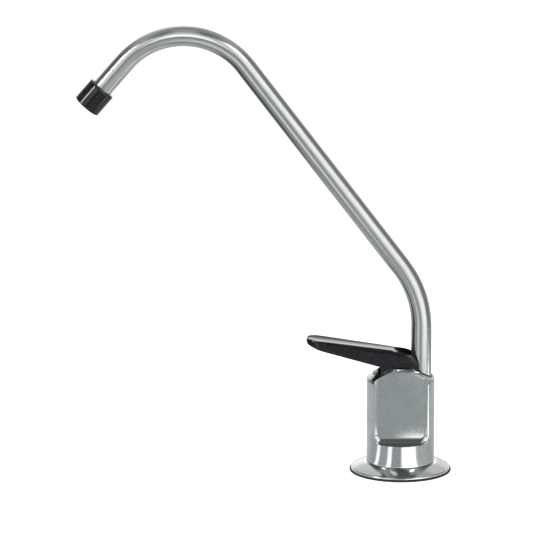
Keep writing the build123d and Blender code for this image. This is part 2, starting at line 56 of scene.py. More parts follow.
# One object from points and faces, all turned outward: a negative volume, the sum of
# a . (b x c) / 6 over the faces' triangles, flips every face.
def addMesh(name, points, faces, uv=None):
    v = points.reshape(-1, 3)[faces]
    volume = 0.0
    for k in range(1, faces.shape[1] - 1):
        volume += np.einsum("ij,ij->i", v[:, 0], np.cross(v[:, k], v[:, k + 1])).sum() / 6
    if volume < 0:
        faces = faces[:, ::-1]
        uv = uv[:, ::-1] if uv is not None else None
    mesh = bpy.data.meshes.new(name)
    mesh.vertices.add(points.size // 3)
    mesh.vertices.foreach_set("co", (points * mm).astype(np.float32).ravel())
    count, corners = faces.shape
    mesh.loops.add(count * corners)
    mesh.polygons.add(count)
    mesh.loops.foreach_set("vertex_index", faces.astype(np.int32).ravel())
    mesh.polygons.foreach_set("loop_start", np.arange(0, count * corners, corners, dtype=np.int32))
    mesh.update(calc_edges=True)
    if uv is not None:
        layer = mesh.uv_layers.new(name="surface")
        layer.data.foreach_set("uv", uv.astype(np.float32).ravel())
    mesh.validate()
    return addObject(name, mesh)


# A surface that closes on itself both ways, as a ring does. uv runs in real millimetres.
def addRing(name, points, uLength, vLength):
    nu, nv = points.shape[:2]
    index = np.arange(nu * nv).reshape(nu, nv)
    right = np.roll(index, -1, 0)
    faces = np.stack([index, right, np.roll(right, -1, 1), np.roll(index, -1, 1)], -1).reshape(-1, 4)
    i, j = np.meshgrid(np.arange(nu), np.arange(nv), indexing="ij")
    u = np.stack([i, i + 1, i + 1, i], -1) / nu * uLength
    v = np.stack([j, j, j + 1, j + 1], -1) / nv * vLength
    return addMesh(name, points, faces, np.stack([u, v], -1).reshape(-1, 4, 2))


# The faces of a surface that closes on itself along i and is open along j.
def stripFaces(nu, nv):
    index = np.arange(nu * nv).reshape(nu, nv)
    right = np.roll(index, -1, 0)
    return np.stack([index[:, :-1], right[:, :-1], right[:, 1:], index[:, 1:]], -1).reshape(-1, 4)


# Joins points that fall together, such as the rows that close a shape at its ends.
def weld(obj):
    bm = bmesh.new()
    bm.from_mesh(obj.data)
    bmesh.ops.remove_doubles(bm, verts=bm.verts, dist=weldReach * mm)
    bm.to_mesh(obj.data)
    bm.free()


# A closed skin over rings of points [i, j]: i runs round, and the first and last rings are
# drawn together at their centres, which closes the ends.
def addSkin(name, points):
    low = np.broadcast_to(points[:, :1].mean(0), (len(points), 1, 3))
    high = np.broadcast_to(points[:, -1:].mean(0), (len(points), 1, 3))
    points = np.concatenate([low, points, high], 1)
    obj = addMesh(name, points, stripFaces(*points.shape[:2]))
    weld(obj)
    return obj


# An outline in two of the axes, carried straight along the third from low to high.
def addPrism(name, outline, axis, low, high):
    outline = np.array(outline, float)
    count = len(outline)
    ends = np.repeat([low, high], count)[:, None]
    both = np.concatenate([outline, outline])
    points = np.concatenate([ends, both] if axis == "x" else [both, ends], 1)
    k = np.arange(count)
    sides = np.stack([k, (k + 1) % count, (k + 1) % count + count, k + count], -1)
    mesh = bpy.data.meshes.new(name)
    mesh.from_pydata((points * mm).tolist(), [], [list(k), list(k + count)] + sides.tolist())
    obj = addObject(name, mesh)
    bm = bmesh.new()
    bm.from_mesh(mesh)
    bmesh.ops.recalc_face_normals(bm, faces=bm.faces)
    bm.to_mesh(mesh)
    bm.free()
    return obj


# A closed circle of points round (0, y).
def circle(y, radius, count=64):
    a = np.linspace(0, 2 * np.pi, count, endpoint=False)
    return np.stack([radius * np.cos(a), y + radius * np.sin(a)], -1)


# Points of an arc round (cx, cy) from one angle to another, in degrees.
def arc(cx, cy, radius, start, end, count=6):
    a = np.radians(np.linspace(start, end, count))
    return list(zip(cx + radius * np.cos(a), cy + radius * np.sin(a)))


# A soft step from 0 to 1: t * t * (3 - 2 * t).
def ease(t):
    return t * t * (3 - 2 * t)


# All values of several runs (from, to, count), each value once.
def gradedRuns(runs):
    return np.unique(np.concatenate([np.linspace(*run) for run in runs]))


# Takes the cutters out of obj, and then deletes them.
def cut(obj, *cutters):
    for cutter in cutters:
        step = obj.modifiers.new(cutter.name, "BOOLEAN")
        step.operation = "DIFFERENCE"
        step.solver = "EXACT"
        step.object = cutter
    bpy.context.view_layer.update()
    result = bpy.data.meshes.new_from_object(obj.evaluated_get(bpy.context.evaluated_depsgraph_get()))
    obj.modifiers.clear()
    old, obj.data = obj.data, result
    bpy.data.meshes.remove(old)
    for cutter in cutters:
        bpy.data.objects.remove(cutter)


# Smooth shading, with edges kept sharp where faces meet at more than this many degrees.
def smooth(obj, degrees=35.0):
    obj.data.polygons.foreach_set("use_smooth", np.ones(len(obj.data.polygons), bool))
    obj.data.set_sharp_from_angle(angle=np.radians(degrees))


# Gives a finished piece its material and the body that it rides on, and hides the CAD nodes that it
# replaces. The slot is not used.
def dress(obj, material, body, slot, *nodes):
    obj.data.materials.clear()
    obj.data.materials.append(material)
    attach(obj, body)
    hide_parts(*nodes)


# A closed profile of (radius, height) points turned round an upright axis:
# x = r cos a, y = r sin a, z = h.
def turned(name, profile, count=160):
    angle = np.linspace(0, 2 * np.pi, count, endpoint=False)[:, None]
    r, h = np.array(profile).T
    points = np.stack([r * np.cos(angle), r * np.sin(angle), np.broadcast_to(h, (count, len(h)))], -1)
    run = np.hypot(np.diff(r), np.diff(h)).sum()
    return addRing(name, points, 2 * np.pi * r.max(), run)


# Materials

bumpHeight = 0.02  # mm
metalRamp = (0.3, 0.95)  # where the noise is at its dark and its light shade
mouldedRamp = (0.35, 0.7)


# A new material with its nodes, links and Principled shader.
def newMaterial(name):
    material = bpy.data.materials.new(name)
    material.use_nodes = True
    nodes = material.node_tree.nodes
    shader = nodes["Principled BSDF"]
    return material, nodes, material.node_tree.links, shader


# Noise over the given coordinates, as the socket of its value.
def addNoise(nodes, links, vector, scale, detail, roughness=0.5):
    noise = nodes.new("ShaderNodeTexNoise")
    noise.inputs["Scale"].default_value = scale
    noise.inputs["Detail"].default_value = detail
    noise.inputs["Roughness"].default_value = roughness
    links.new(vector, noise.inputs["Vector"])
    return noise.outputs["Fac"]


# Carries a value from 0 to 1 over to one from low to high.
def mapRange(nodes, links, value, low, high):
    level = nodes.new("ShaderNodeMapRange")
    level.inputs["To Min"].default_value = low
    level.inputs["To Max"].default_value = high
    links.new(value, level.inputs["Value"])
    return level.outputs["Result"]


# What noise does to a surface: shade gives a colour between dark and light, and skin gives the
# roughness and a fine bump.
def applyNoise(nodes, links, shader, shade, skin, spec, ramp):
    colour = nodes.new("ShaderNodeValToRGB")
    for stop, place, tint in zip(colour.color_ramp.elements, ramp, (spec["dark"], spec["light"])):
        stop.position = place
        stop.color = (*tint, 1)
    links.new(shade, colour.inputs["Fac"])
    links.new(colour.outputs["Color"], shader.inputs["Base Color"])
    links.new(mapRange(nodes, links, skin, *spec["roughness"]), shader.inputs["Roughness"])
    bump = nodes.new("ShaderNodeBump")
    bump.inputs["Strength"].default_value = spec["bump"]
    bump.inputs["Distance"].default_value = bumpHeight * mm
    links.new(skin, bump.inputs["Height"])
    links.new(bump.outputs["Normal"], shader.inputs["Normal"])


# Brushed nickel. The grain is noise stretched along one way of the coordinates, which varies
# the colour, the roughness and a fine bump; a slow noise adds faint cloudiness to the colour.
def brushedMetal(name, spec):
    material, nodes, links, shader = newMaterial(name)
    coords = nodes.new("ShaderNodeTexCoord").outputs[spec["coords"]]
    mapping = nodes.new("ShaderNodeMapping")
    mapping.inputs["Scale"].default_value = spec["grainScale"]
    links.new(coords, mapping.inputs["Vector"])
    grain = addNoise(nodes, links, mapping.outputs["Vector"], scale=1.0, detail=3.0, roughness=0.6)
    cloud = addNoise(nodes, links, coords, spec["cloudScale"], detail=2.0)
    both = nodes.new("ShaderNodeMath")
    both.operation = "MULTIPLY_ADD"
    both.inputs[1].default_value = spec["cloudShare"]
    links.new(cloud, both.inputs[0])
    links.new(grain, both.inputs[2])
    applyNoise(nodes, links, shader, both.outputs[0], grain, spec, metalRamp)
    shader.inputs["Metallic"].default_value = 1.0
    return material


# A brushed skin spreads its highlights across the grain: along its second UV direction, which is a
# quarter turn from the first.
def stretchHighlights(material, amount):
    nodes = material.node_tree.nodes
    shader = nodes["Principled BSDF"]
    along = nodes.new("ShaderNodeTangent")
    along.direction_type = "UV_MAP"
    along.uv_map = "surface"
    shader.inputs["Anisotropic"].default_value = amount
    shader.inputs["Anisotropic Rotation"].default_value = 0.25
    material.node_tree.links.new(along.outputs["Tangent"], shader.inputs["Tangent"])


# Moulded plastic or rubber: a nearly even colour with fine mottling and a slight skin.
def moulded(name, spec):
    material, nodes, links, shader = newMaterial(name)
    coords = nodes.new("ShaderNodeTexCoord").outputs["Object"]
    skin = addNoise(nodes, links, coords, spec["skinScale"], detail=4.0)
    applyNoise(nodes, links, shader, skin, skin, spec, mouldedRamp)
    shader.inputs["Specular IOR Level"].default_value = spec["specular"]
    return material


tubeMetal = brushedMetal("tube_nickel", {
    "coords": "UV", "grainScale": (5.0, 0.04, 1.0), "cloudScale": 0.15, "cloudShare": 0.25,
    "dark": (0.48, 0.50, 0.49), "light": (0.70, 0.72, 0.71), "roughness": (0.16, 0.24), "bump": 0.03})
stretchHighlights(tubeMetal, 0.7)
bodyMetal = brushedMetal("body_nickel", {
    "coords": "Object", "grainScale": (1100.0, 1100.0, 2600.0), "cloudScale": 180.0, "cloudShare": 0.3,
    "dark": (0.46, 0.50, 0.50), "light": (0.76, 0.79, 0.79), "roughness": (0.09, 0.14), "bump": 0.05})
plateMetal = brushedMetal("plate_nickel", {
    "coords": "UV", "grainScale": (0.05, 3.0, 1.0), "cloudScale": 0.12, "cloudShare": 0.25,
    "dark": (0.56, 0.58, 0.58), "light": (0.73, 0.76, 0.76), "roughness": (0.11, 0.17), "bump": 0.04})
turnedMetal = brushedMetal("turned_nickel", {
    "coords": "Object", "grainScale": (150.0, 150.0, 3000.0), "cloudScale": 200.0, "cloudShare": 0.3,
    "dark": (0.50, 0.49, 0.46), "light": (0.68, 0.66, 0.62), "roughness": (0.2, 0.32), "bump": 0.1})
brassMetal = brushedMetal("turned_brass", {
    "coords": "Object", "grainScale": (150.0, 150.0, 3000.0), "cloudScale": 200.0, "cloudShare": 0.3,
    "dark": (0.60, 0.44, 0.20), "light": (0.78, 0.62, 0.34), "roughness": (0.22, 0.36), "bump": 0.1})
steelMetal = brushedMetal("spring_steel", {
    "coords": "Object", "grainScale": (900.0, 900.0, 900.0), "cloudScale": 200.0, "cloudShare": 0.3,
    "dark": (0.48, 0.48, 0.49), "light": (0.64, 0.64, 0.65), "roughness": (0.22, 0.34), "bump": 0.1})
glossBlack = moulded("gloss_black", {
    "skinScale": 620.0, "dark": (0.001, 0.001, 0.002), "light": (0.016, 0.017, 0.021),
    "roughness": (0.08, 0.16), "bump": 0.35, "specular": 0.5})
rubberBlack = moulded("rubber_black", {
    "skinScale": 1500.0, "dark": (0.010, 0.010, 0.010), "light": (0.022, 0.022, 0.022),
    "roughness": (0.5, 0.7), "bump": 0.4, "specular": 0.35})
mattBlack = moulded("matt_black", {
    "skinScale": 1100.0, "dark": (0.014, 0.014, 0.014), "light": (0.028, 0.028, 0.028),
    "roughness": (0.4, 0.55), "bump": 0.4, "specular": 0.4})
acetalWhite = moulded("white_acetal", {
    "skinScale": 900.0, "dark": (0.70, 0.70, 0.68), "light": (0.80, 0.80, 0.78),
    "roughness": (0.3, 0.42), "bump": 0.2, "specular": 0.5})
print("stage: materials")


# Spout tube. Its foot is in the body's socket. The corner is where the upright run and the diagonal
# would meet without a bend, and the leg is the drooping run from the second such corner on.

spout = {
    "footY": shared["spoutY"], "footZ": 35.0, "cornerZ": 85.0, "lean": 37.35, "diagonal": 179.4,
    "droop": 49.2, "leg": 68.6, "lowBend": 47.2, "highBend": 36.0, "radius": 4.7625, "bore": 3.9625,
    "rimRound": 0.25, "flatten": 0.02, "widen": 0.01, "blend": 7.0, "along": 230, "around": 72,
}


# The centreline as a function of the length s along it: straight, arc, straight, arc, straight.
# On a straight the point is start + s * direction. On an arc of radius R the heading turns by
# s / R and the point is start + R * (normal at s - normal at the start). Returns points and
# in-plane normals (y, z), and the lengths at which the runs end.
def centreline(s):
    lean = np.radians(spout["lean"])
    down = np.radians(90 + spout["droop"])
    firstSetback = spout["lowBend"] * np.tan(lean / 2)
    secondSetback = spout["highBend"] * np.tan((down - lean) / 2)
    runs = [spout["cornerZ"] - spout["footZ"] - firstSetback, spout["lowBend"] * lean,
            spout["diagonal"] - firstSetback - secondSetback, spout["highBend"] * (down - lean),
            spout["leg"] - secondSetback]
    radii = [None, spout["lowBend"], None, spout["highBend"], None]
    ends = np.concatenate([[0], np.cumsum(runs)])
    heading, start = 0.0, np.array([spout["footY"], spout["footZ"]])
    place = np.zeros((len(s), 2))
    turn = np.zeros(len(s))
    for k, run in enumerate(runs):
        here = (s >= ends[k]) if k == len(runs) - 1 else (s >= ends[k]) & (s < ends[k + 1])
        part = np.append(s[here] - ends[k], run)
        if radii[k] is None:
            angle = np.full(len(part), heading)
            moved = start + part[:, None] * np.array([-np.sin(heading), np.cos(heading)])
        else:
            angle = heading + part / radii[k]
            swing = np.stack([np.cos(angle) - np.cos(heading), np.sin(angle) - np.sin(heading)], -1)
            moved = start + radii[k] * swing
        place[here], turn[here] = moved[:-1], angle[:-1]
        start, heading = moved[-1], angle[-1]
    normal = np.stack([np.cos(turn), np.sin(turn)], -1)
    return place, normal, ends


# How much of the bending squeeze there is at s: 1 in an arc, falling to 0 within the blend length.
def bendShare(s, ends):
    share = np.zeros(len(s))
    for k in (1, 3):
        inside = np.minimum(s - ends[k], ends[k + 1] - s)
        share = np.maximum(share, ease(np.clip(inside / spout["blend"] + 0.5, 0, 1)))
    return share


spoutLength = centreline(np.zeros(1))[2][-1]


# A closed profile of (radius, length along the spout) swept round the centreline:
# point = centre(s) + r * (cos a * normal * (1 - flatten) + sin a * X * (1 + widen)).
def sweptRound(name, profile, count):
    r, s = np.array(profile).T
    place, normal, ends = centreline(s)
    share = bendShare(s, ends)
    a = np.linspace(0, 2 * np.pi, count, endpoint=False)[:, None]
    inPlane = r * np.cos(a) * (1 - spout["flatten"] * share)
    across = r * np.sin(a) * (1 + spout["widen"] * share)
    y = place[:, 0] + inPlane * normal[:, 0]
    z = place[:, 1] + inPlane * normal[:, 1]
    run = np.hypot(np.diff(r), np.diff(s)).sum()
    return addRing(name, np.stack([across, y, z], -1), 2 * np.pi * r.max(), run)


def tubeProfile():
    outer, bore, edge = spout["radius"], spout["bore"], spout["rimRound"]
    run = np.linspace(edge, spoutLength - edge, spout["along"])
    profile = [(outer, x) for x in run]
    profile += arc(outer - edge, spoutLength - edge, edge, 0, 90, 4)[1:]
    profile += [(bore, spoutLength)] + [(bore, x) for x in run[::-1]] + [(bore, 0.0)]
    return profile + arc(outer - edge, edge, edge, -90, -30, 3)


tube = sweptRound("visual_spout_tube", tubeProfile(), spout["around"])
smooth(tube)
dress(tube, tubeMetal, "spout", "tube_metal", "spout_tube")
print("stage: spout tube")


# Spout tip: a moulded cap turned round the end of the outlet leg, with a soft upper edge.

tip = {"radius": 6.55, "length": 11.5, "lip": 2.8, "bore": 3.97, "topRound": 0.95, "endRound": 0.5,
       "sideStart": 1.4, "sideEnd": 0.9, "sideRows": 8, "chamfer": 0.25, "seatChamfer": 0.2, "play": 0.01}


def tipProfile():
    top = spoutLength - (tip["length"] - tip["lip"])
    end = top + tip["length"]
    stop = spoutLength + tip["play"]
    seat = spout["radius"] + tip["play"]
    edge, low = tip["radius"] - tip["topRound"], tip["radius"] - tip["endRound"]
    profile = arc(edge, top + tip["topRound"], tip["topRound"], -90, 0, 8)
    side = np.linspace(top + tip["sideStart"], end - tip["sideEnd"], tip["sideRows"])
    profile += [(tip["radius"], x) for x in side]
    profile += arc(low, end - tip["endRound"], tip["endRound"], 0, 90, 6)
    profile += [(tip["bore"] + tip["chamfer"], end), (tip["bore"], end - tip["chamfer"])]
    profile += [(tip["bore"], stop), (seat, stop), (seat, top + tip["seatChamfer"])]
    return profile + [(spout["radius"] + tip["seatChamfer"], top)]


cap = sweptRound("visual_spout_tip", tipProfile(), spout["around"])
smooth(cap)
dress(cap, glossBlack, "spout", "tip_plastic", "spout_tip")
print("stage: spout tip")


# Escutcheon: a stamped plate, domed from the body's lip down to a thin edge.

plate = {"radius": 23.2, "top": shared["plateTop"], "thick": 1.2, "foot": shared["gasketTop"],
         "footWidth": 1.0, "footRound": 0.15, "rim": 0.7, "rimRound": 0.3, "rimChamfer": 0.07,
         "rimEdge": 0.1, "flat": 17.0, "lip": 0.75, "lipHeight": 0.4, "lipRound": 0.15, "crown": 0.2,
         "domeRows": 22, "hole": shared["shankHole"], "bodyRadius": 16.075, "sharpAngle": 30.0}


# The dome's height over t, which runs from the lip (0) to the rim (1), is a straight slope and a
# bulge of 4 * crown * t * (1 - t).
def plateProfile():
    p = plate
    under, foot = p["top"] - p["thick"], p["foot"]
    lipTop, lipOuter = p["top"] + p["lipHeight"], p["bodyRadius"] + p["lip"]
    rimTop = foot + p["rim"]
    t = np.linspace(0, 1, p["domeRows"])
    domeR = lipOuter + (p["radius"] - lipOuter) * t
    domeZ = lipTop + (rimTop - lipTop) * t + 4 * p["crown"] * t * (1 - t)
    profile = [(p["radius"] - p["footWidth"], foot), (p["radius"] - p["footRound"], foot)]
    profile += [(p["radius"], foot + p["footRound"]), (p["radius"], rimTop - p["rimRound"])]
    profile += [(p["radius"] - p["rimChamfer"], rimTop - p["rimEdge"])]
    profile += list(zip(domeR[-2:0:-1], domeZ[-2:0:-1]))
    profile += [(lipOuter, lipTop), (p["bodyRadius"] + p["lipRound"], lipTop)]
    profile += [(p["bodyRadius"], lipTop - p["lipRound"]), (p["bodyRadius"], p["top"])]
    return profile + [(p["hole"], p["top"]), (p["hole"], under), (p["flat"], under)]


escutcheon = turned("visual_escutcheon", plateProfile())
smooth(escutcheon, plate["sharpAngle"])
dress(escutcheon, plateMetal, "root", "plate_metal", "escutcheon")

# The gasket under the plate, with a hub that fills the plate's hollow.

gasket = {"radius": 23.8, "thick": shared["gasketTop"], "round": 0.32, "hub": 15.8, "hubTop": 2.7,
          "hole": shared["shankHole"], "sharpAngle": 40.0}


def gasketProfile():
    g = gasket
    edge = g["radius"] - g["round"]
    profile = [(g["hole"], 0.0)] + arc(edge, g["round"], g["round"], -90, 0, 6)
    profile += arc(edge, g["thick"] - g["round"], g["round"], 0, 90, 6)
    return profile + [(g["hub"], g["thick"]), (g["hub"], g["hubTop"]), (g["hole"], g["hubTop"])]


deckGasket = turned("visual_deck_gasket", gasketProfile())
smooth(deckGasket, gasket["sharpAngle"])
dress(deckGasket, rubberBlack, "root", "gasket_rubber", "deck_gasket")
print("stage: base")


# Body: a turned bar with a conical top. Its skin is a grid of angle and profile point (R, z):
# y = R sin a, x = R cos a outside the milled pockets, and inside them x is the pocket's floor,
# which curves up by the cove's radius near the pocket's outline. The two meet in a soft minimum,
# so that the edges are broken. Slot, valve chamber, spout socket and bores are then cut.

body = {
    "radius": 15.875, "foot": shared["plateTop"], "shoulder": 44.8, "top": 50.4, "topRadius": 7.9,
    "footRound": 0.15, "shoulderRound": 0.35, "grooveRadius": 15.4, "grooveTop": 4.6,
    "pocketX": 9.2, "pocketHalf": 13.4, "ledge": 14.9, "cove": 2.7, "corner": 4.4, "cliff": 0.28,
    "edge": 0.34, "slotHalf": 6.35, "slotFront": -13.0, "slotRear": 14.9, "slotCorner": 4.0,
    "slotFloor": 38.5, "overTop": 60.0, "sharpAngle": 38.0,
    # rings of the flat ends, rows up the side (from, to, step), rows on the cone, and columns in
    # degrees from the flat's side to front and rear (from, to, count), closest at the pocket's edges
    "footRings": (0.01, 5.0, 10.0), "topRings": (5.0, 2.5, 0.01), "coneRows": 46,
    "sideRows": [(5.5, 14.4, 1.5), (14.5, 15.7, 0.07), (15.8, 19.6, 0.2), (20.5, 43.6, 1.5)],
    "columns": [(0, 40, 58), (40, 57, 44), (57, 90, 14)],
    # upright round holes: name, y of the axis, radius, and the heights between which it is cut
    "holes": [("cut_chamber", shared["valveY"], 5.6, 17.5, 39.0),
              ("cut_socket", shared["spoutY"], 4.8125, 19.5, 39.0),
              ("cut_shank", 0.0, 5.606, 3.0, 14.0),
              ("cut_seal_room", 0.0, 7.256, 3.0, 5.45),
              ("cut_inlet", shared["valveY"], 2.0, 12.0, 18.3)],
}


# The lower of a and b, rounded where they are less than k apart.
def softMin(a, b, k):
    h = np.clip(0.5 + 0.5 * (b - a) / k, 0, 1)
    return b + (a - b) * h - k * h * (1 - h)


# x of the skin at a point of the plain bar: inside is the distance in from the pocket's outline, a
# rectangle with round lower corners, and the floor rises to the outline as a circle does.
def pocketed(x, y, z):
    b = body
    depth = np.hypot(np.maximum(np.abs(y) - (b["pocketHalf"] - b["corner"]), 0),
                     np.maximum(b["ledge"] + b["corner"] - z, 0))
    inside = b["corner"] - depth
    curl = np.clip(b["cove"] - inside, 0, b["cove"])
    floor = b["pocketX"] + b["cove"] - np.sqrt(b["cove"] ** 2 - curl ** 2)
    return x + (softMin(x, floor, b["edge"]) - x) * ease(np.clip(inside / b["cliff"], 0, 1))


def bodyProfile():
    b = body
    slope = np.degrees(np.arctan2(b["top"] - b["shoulder"], b["radius"] - b["topRadius"]))
    rows = [(r, b["foot"]) for r in (*b["footRings"], b["grooveRadius"])]
    rows += [(b["grooveRadius"], b["grooveTop"])]
    rows += arc(b["radius"] - b["footRound"], b["grooveTop"] + b["footRound"], b["footRound"], -90, 0, 5)
    rows += [(b["radius"], z) for run in b["sideRows"] for z in np.arange(*run)]
    shoulder = b["shoulderRound"]
    setback = shoulder * np.tan(np.radians(90 - slope) / 2)
    rows += arc(b["radius"] - shoulder, b["shoulder"] - setback, shoulder, 0, 90 - slope, 5)
    t = np.linspace(0, 1, b["coneRows"])[1:]
    edgeR, edgeZ = rows[-1]
    rows += list(zip(edgeR + (b["topRadius"] - edgeR) * t, edgeZ + (b["top"] - edgeZ) * t))
    return rows + [(r, b["top"]) for r in b["topRings"]]


# The slot on top, a rectangle with round corners.
def slotOutline():
    b = body
    side = b["slotHalf"] - b["slotCorner"]
    rear, front = b["slotRear"] - b["slotCorner"], b["slotFront"] + b["slotCorner"]
    outline = []
    for x, y, start in ((side, rear, 0), (-side, rear, 90), (-side, front, 180), (side, front, 270)):
        outline += arc(x, y, b["slotCorner"], start, start + 90, 12)
    return outline


def makeBody():
    b = body
    quarter = gradedRuns(b["columns"])
    half = np.radians(np.concatenate([-quarter[:0:-1], quarter]))[:, None]
    r, z = np.array(bodyProfile()).T
    y = r * np.sin(half)
    high = np.broadcast_to(z, y.shape)
    x = pocketed(r * np.cos(half), y, high)
    right = np.stack([x, y, high], -1)
    left = np.stack([-x, y, high], -1)[-2:0:-1]
    skin = addSkin("visual_body", np.concatenate([right, left]))
    cutters = [addPrism("cut_slot", slotOutline(), "z", b["slotFloor"], b["overTop"])]
    for name, axisY, radius, low, top in b["holes"]:
        cutters.append(addPrism(name, circle(axisY, radius), "z", low, top))
    cut(skin, *cutters)
    smooth(skin, b["sharpAngle"])
    return skin


dress(makeBody(), bodyMetal, "root", "body_metal", "body")
print("stage: body")


# Lever: sections across y, from the tip to the heel, in coordinates from the pin's axis. Half a
# section runs over a top dished by dish * (1 - a * a), round a quarter ellipse for the shoulder,
# down a straight side and round a quarter circle to a flat underside. Around the tip the half-width
# follows a circle. Then the fork for the spout tube and the stem, the hole for the pin and the
# hollows under the paddle are cut.

lever = {
    "pinY": shared["valveY"], "pinZ": 49.3, "tipY": -41.2, "heelY": 10.9, "tipHalf": 7.0, "heelHalf": 6.2,
    "topHalfTip": 6.45, "topHalfHeel": 3.5, "dropTip": 0.9, "dropHeel": 3.2, "dishTip": 0.75,
    "dishHeel": 0.15, "underRound": 0.55, "tipTop": 14.6, "heelTop": 9.0, "crownY": 1.0,
    "sharpAngle": 32.0,
    # the share of the length from the heel after which it widens, the shares of the thickness that
    # the shoulder and the lower corner may take, and the least square of the half-width at the tip
    "flareShare": 0.42, "dropShare": 0.45, "underShare": 0.2, "noseFloor": 0.3,
    # y, height of the top and height of the underside
    "side": [(-41.2, 13.2, 13.0), (-41.05, 13.85, 12.4), (-40.7, 14.35, 12.0), (-40.3, 14.55, 11.72),
             (-39.0, 14.5, 11.15), (-37.0, 14.25, 10.3), (-35.0, 13.98, 9.5), (-33.9, 13.85, 9.15),
             (-32.5, 13.66, 8.72), (-28.0, 13.05, 7.44), (-22.0, 12.2, 5.75), (-16.0, 11.36, 4.06),
             (-10.0, 10.54, 2.37), (-7.4, 10.18, 1.64), (-6.75, 10.09, 1.3), (-6.25, 10.02, -3.7),
             (-5.7, 9.94, -4.0), (-2.0, 9.42, -4.0), (0.0, 9.12, -4.0), (1.1, 8.96, -4.0),
             (2.6, 8.85, -3.72), (4.0, 8.72, -2.8), (5.11, 8.53, -1.46), (6.6, 8.12, -1.14),
             (8.0, 7.45, -0.84), (9.3, 6.45, -0.56), (10.2, 5.2, -0.36), (10.7, 3.9, -0.1),
             (10.9, 3.0, 0.3)],
    # sections along y (from, to, count), and the points of half a section's five runs
    "sections": [(-41.2, -34.0, 26), (-34.0, 10.4, 60)],
    "topSteps": 9, "shoulderSteps": 14, "sideSteps": 6, "cornerSteps": 6, "underSteps": 7,
}


# The sections at each y: half-width of the side and of the top, height of the top and underside,
# the shoulder's drop, the dish and the lower corner's radius.
def leverSections(y):
    v = lever
    knots = np.array(v["side"])
    top, under = np.interp(y, knots[:, 0], knots[:, 1]), np.interp(y, knots[:, 0], knots[:, 2])
    share = np.clip((v["heelY"] - y) / (v["heelY"] - v["tipY"]), 0, 1)
    flare = np.clip(share - v["flareShare"], 0, 1) / (1 - v["flareShare"])
    wide = v["heelHalf"] + (v["tipHalf"] - v["heelHalf"]) * flare
    straight = v["tipY"] + v["tipHalf"]
    nose = v["tipHalf"] ** 2 - np.clip(straight - y, 0, None) ** 2
    half = np.where(y < straight, np.minimum(wide, np.sqrt(np.clip(nose, v["noseFloor"], None))), wide)
    slim = half / wide
    topHalf = (v["topHalfHeel"] + (v["topHalfTip"] - v["topHalfHeel"]) * share) * slim
    drop = v["dropHeel"] + (v["dropTip"] - v["dropHeel"]) * share
    drop = np.minimum(drop, v["dropShare"] * (top - under))
    dish = (v["dishHeel"] + (v["dishTip"] - v["dishHeel"]) * share) * slim
    corner = np.minimum(v["underRound"], v["underShare"] * (top - under))
    return half, topHalf, top, under, drop, dish, corner


def makeLever():
    v = lever
    y = np.unique(np.concatenate([[row[0] for row in v["side"]], gradedRuns(v["sections"])]))
    half, topHalf, top, under, drop, dish, corner = leverSections(y)
    a = np.linspace(0, 1, v["topSteps"])[:, None]
    shoulder = np.radians(np.linspace(90, 0, v["shoulderSteps"]))[1:, None]
    side = np.linspace(0, 1, v["sideSteps"])[1:-1, None]
    low = np.radians(np.linspace(0, -90, v["cornerSteps"]))[:, None]
    inner = np.linspace(1, 0, v["underSteps"])[1:, None]
    loop = [(topHalf * a, top - dish * (1 - a ** 2)),
            (topHalf + (half - topHalf) * np.cos(shoulder), top - drop + drop * np.sin(shoulder)),
            (half * np.ones_like(side), (top - drop) + (under + corner - top + drop) * side),
            (half - corner + corner * np.cos(low), under + corner + corner * np.sin(low)),
            ((half - corner) * inner, under * np.ones_like(inner))]
    x, z = (np.concatenate(run) for run in zip(*loop))
    x = np.concatenate([x, -x[-2:0:-1]])
    z = np.concatenate([z, z[-2:0:-1]])
    points = np.stack([x, np.broadcast_to(y, x.shape) + v["pinY"], z + v["pinZ"]], -1)
    skin = addSkin("visual_lever", points)
    cut(skin, *leverCutters())
    smooth(skin, v["sharpAngle"])
    return skin


# What opens the lever, in (y, z) from the pin's axis. The trough has the spout tube's radius and a
# gap at its sides, and a front wall at reach that clears the tube from rest to flipped up, when the
# pin is lifted to liftedPin above its seat. It starts where the cam ends. The stem's room is a fan
# from pressed down to flipped up, round the pin. Two hollows under the roof leave a rib.

fork = {
    "flip": 62.0, "camEnd": (5.11, -1.46), "reach": 7.595, "liftedPin": 5.2, "far": 13.0,
    "troughHalf": 5.0625, "fanReach": 10.9, "fanLow": -106.0, "fanPocket": 3.4, "stemHalf": 2.6,
    "pinHole": 1.15, "pinHalf": 9.0, "hollowFront": -36.0, "hollowRear": -9.5, "hollowFloor": -6.2,
    "roof": 2.2, "hollowHalf": 4.3, "ribHalf": 0.7,
}


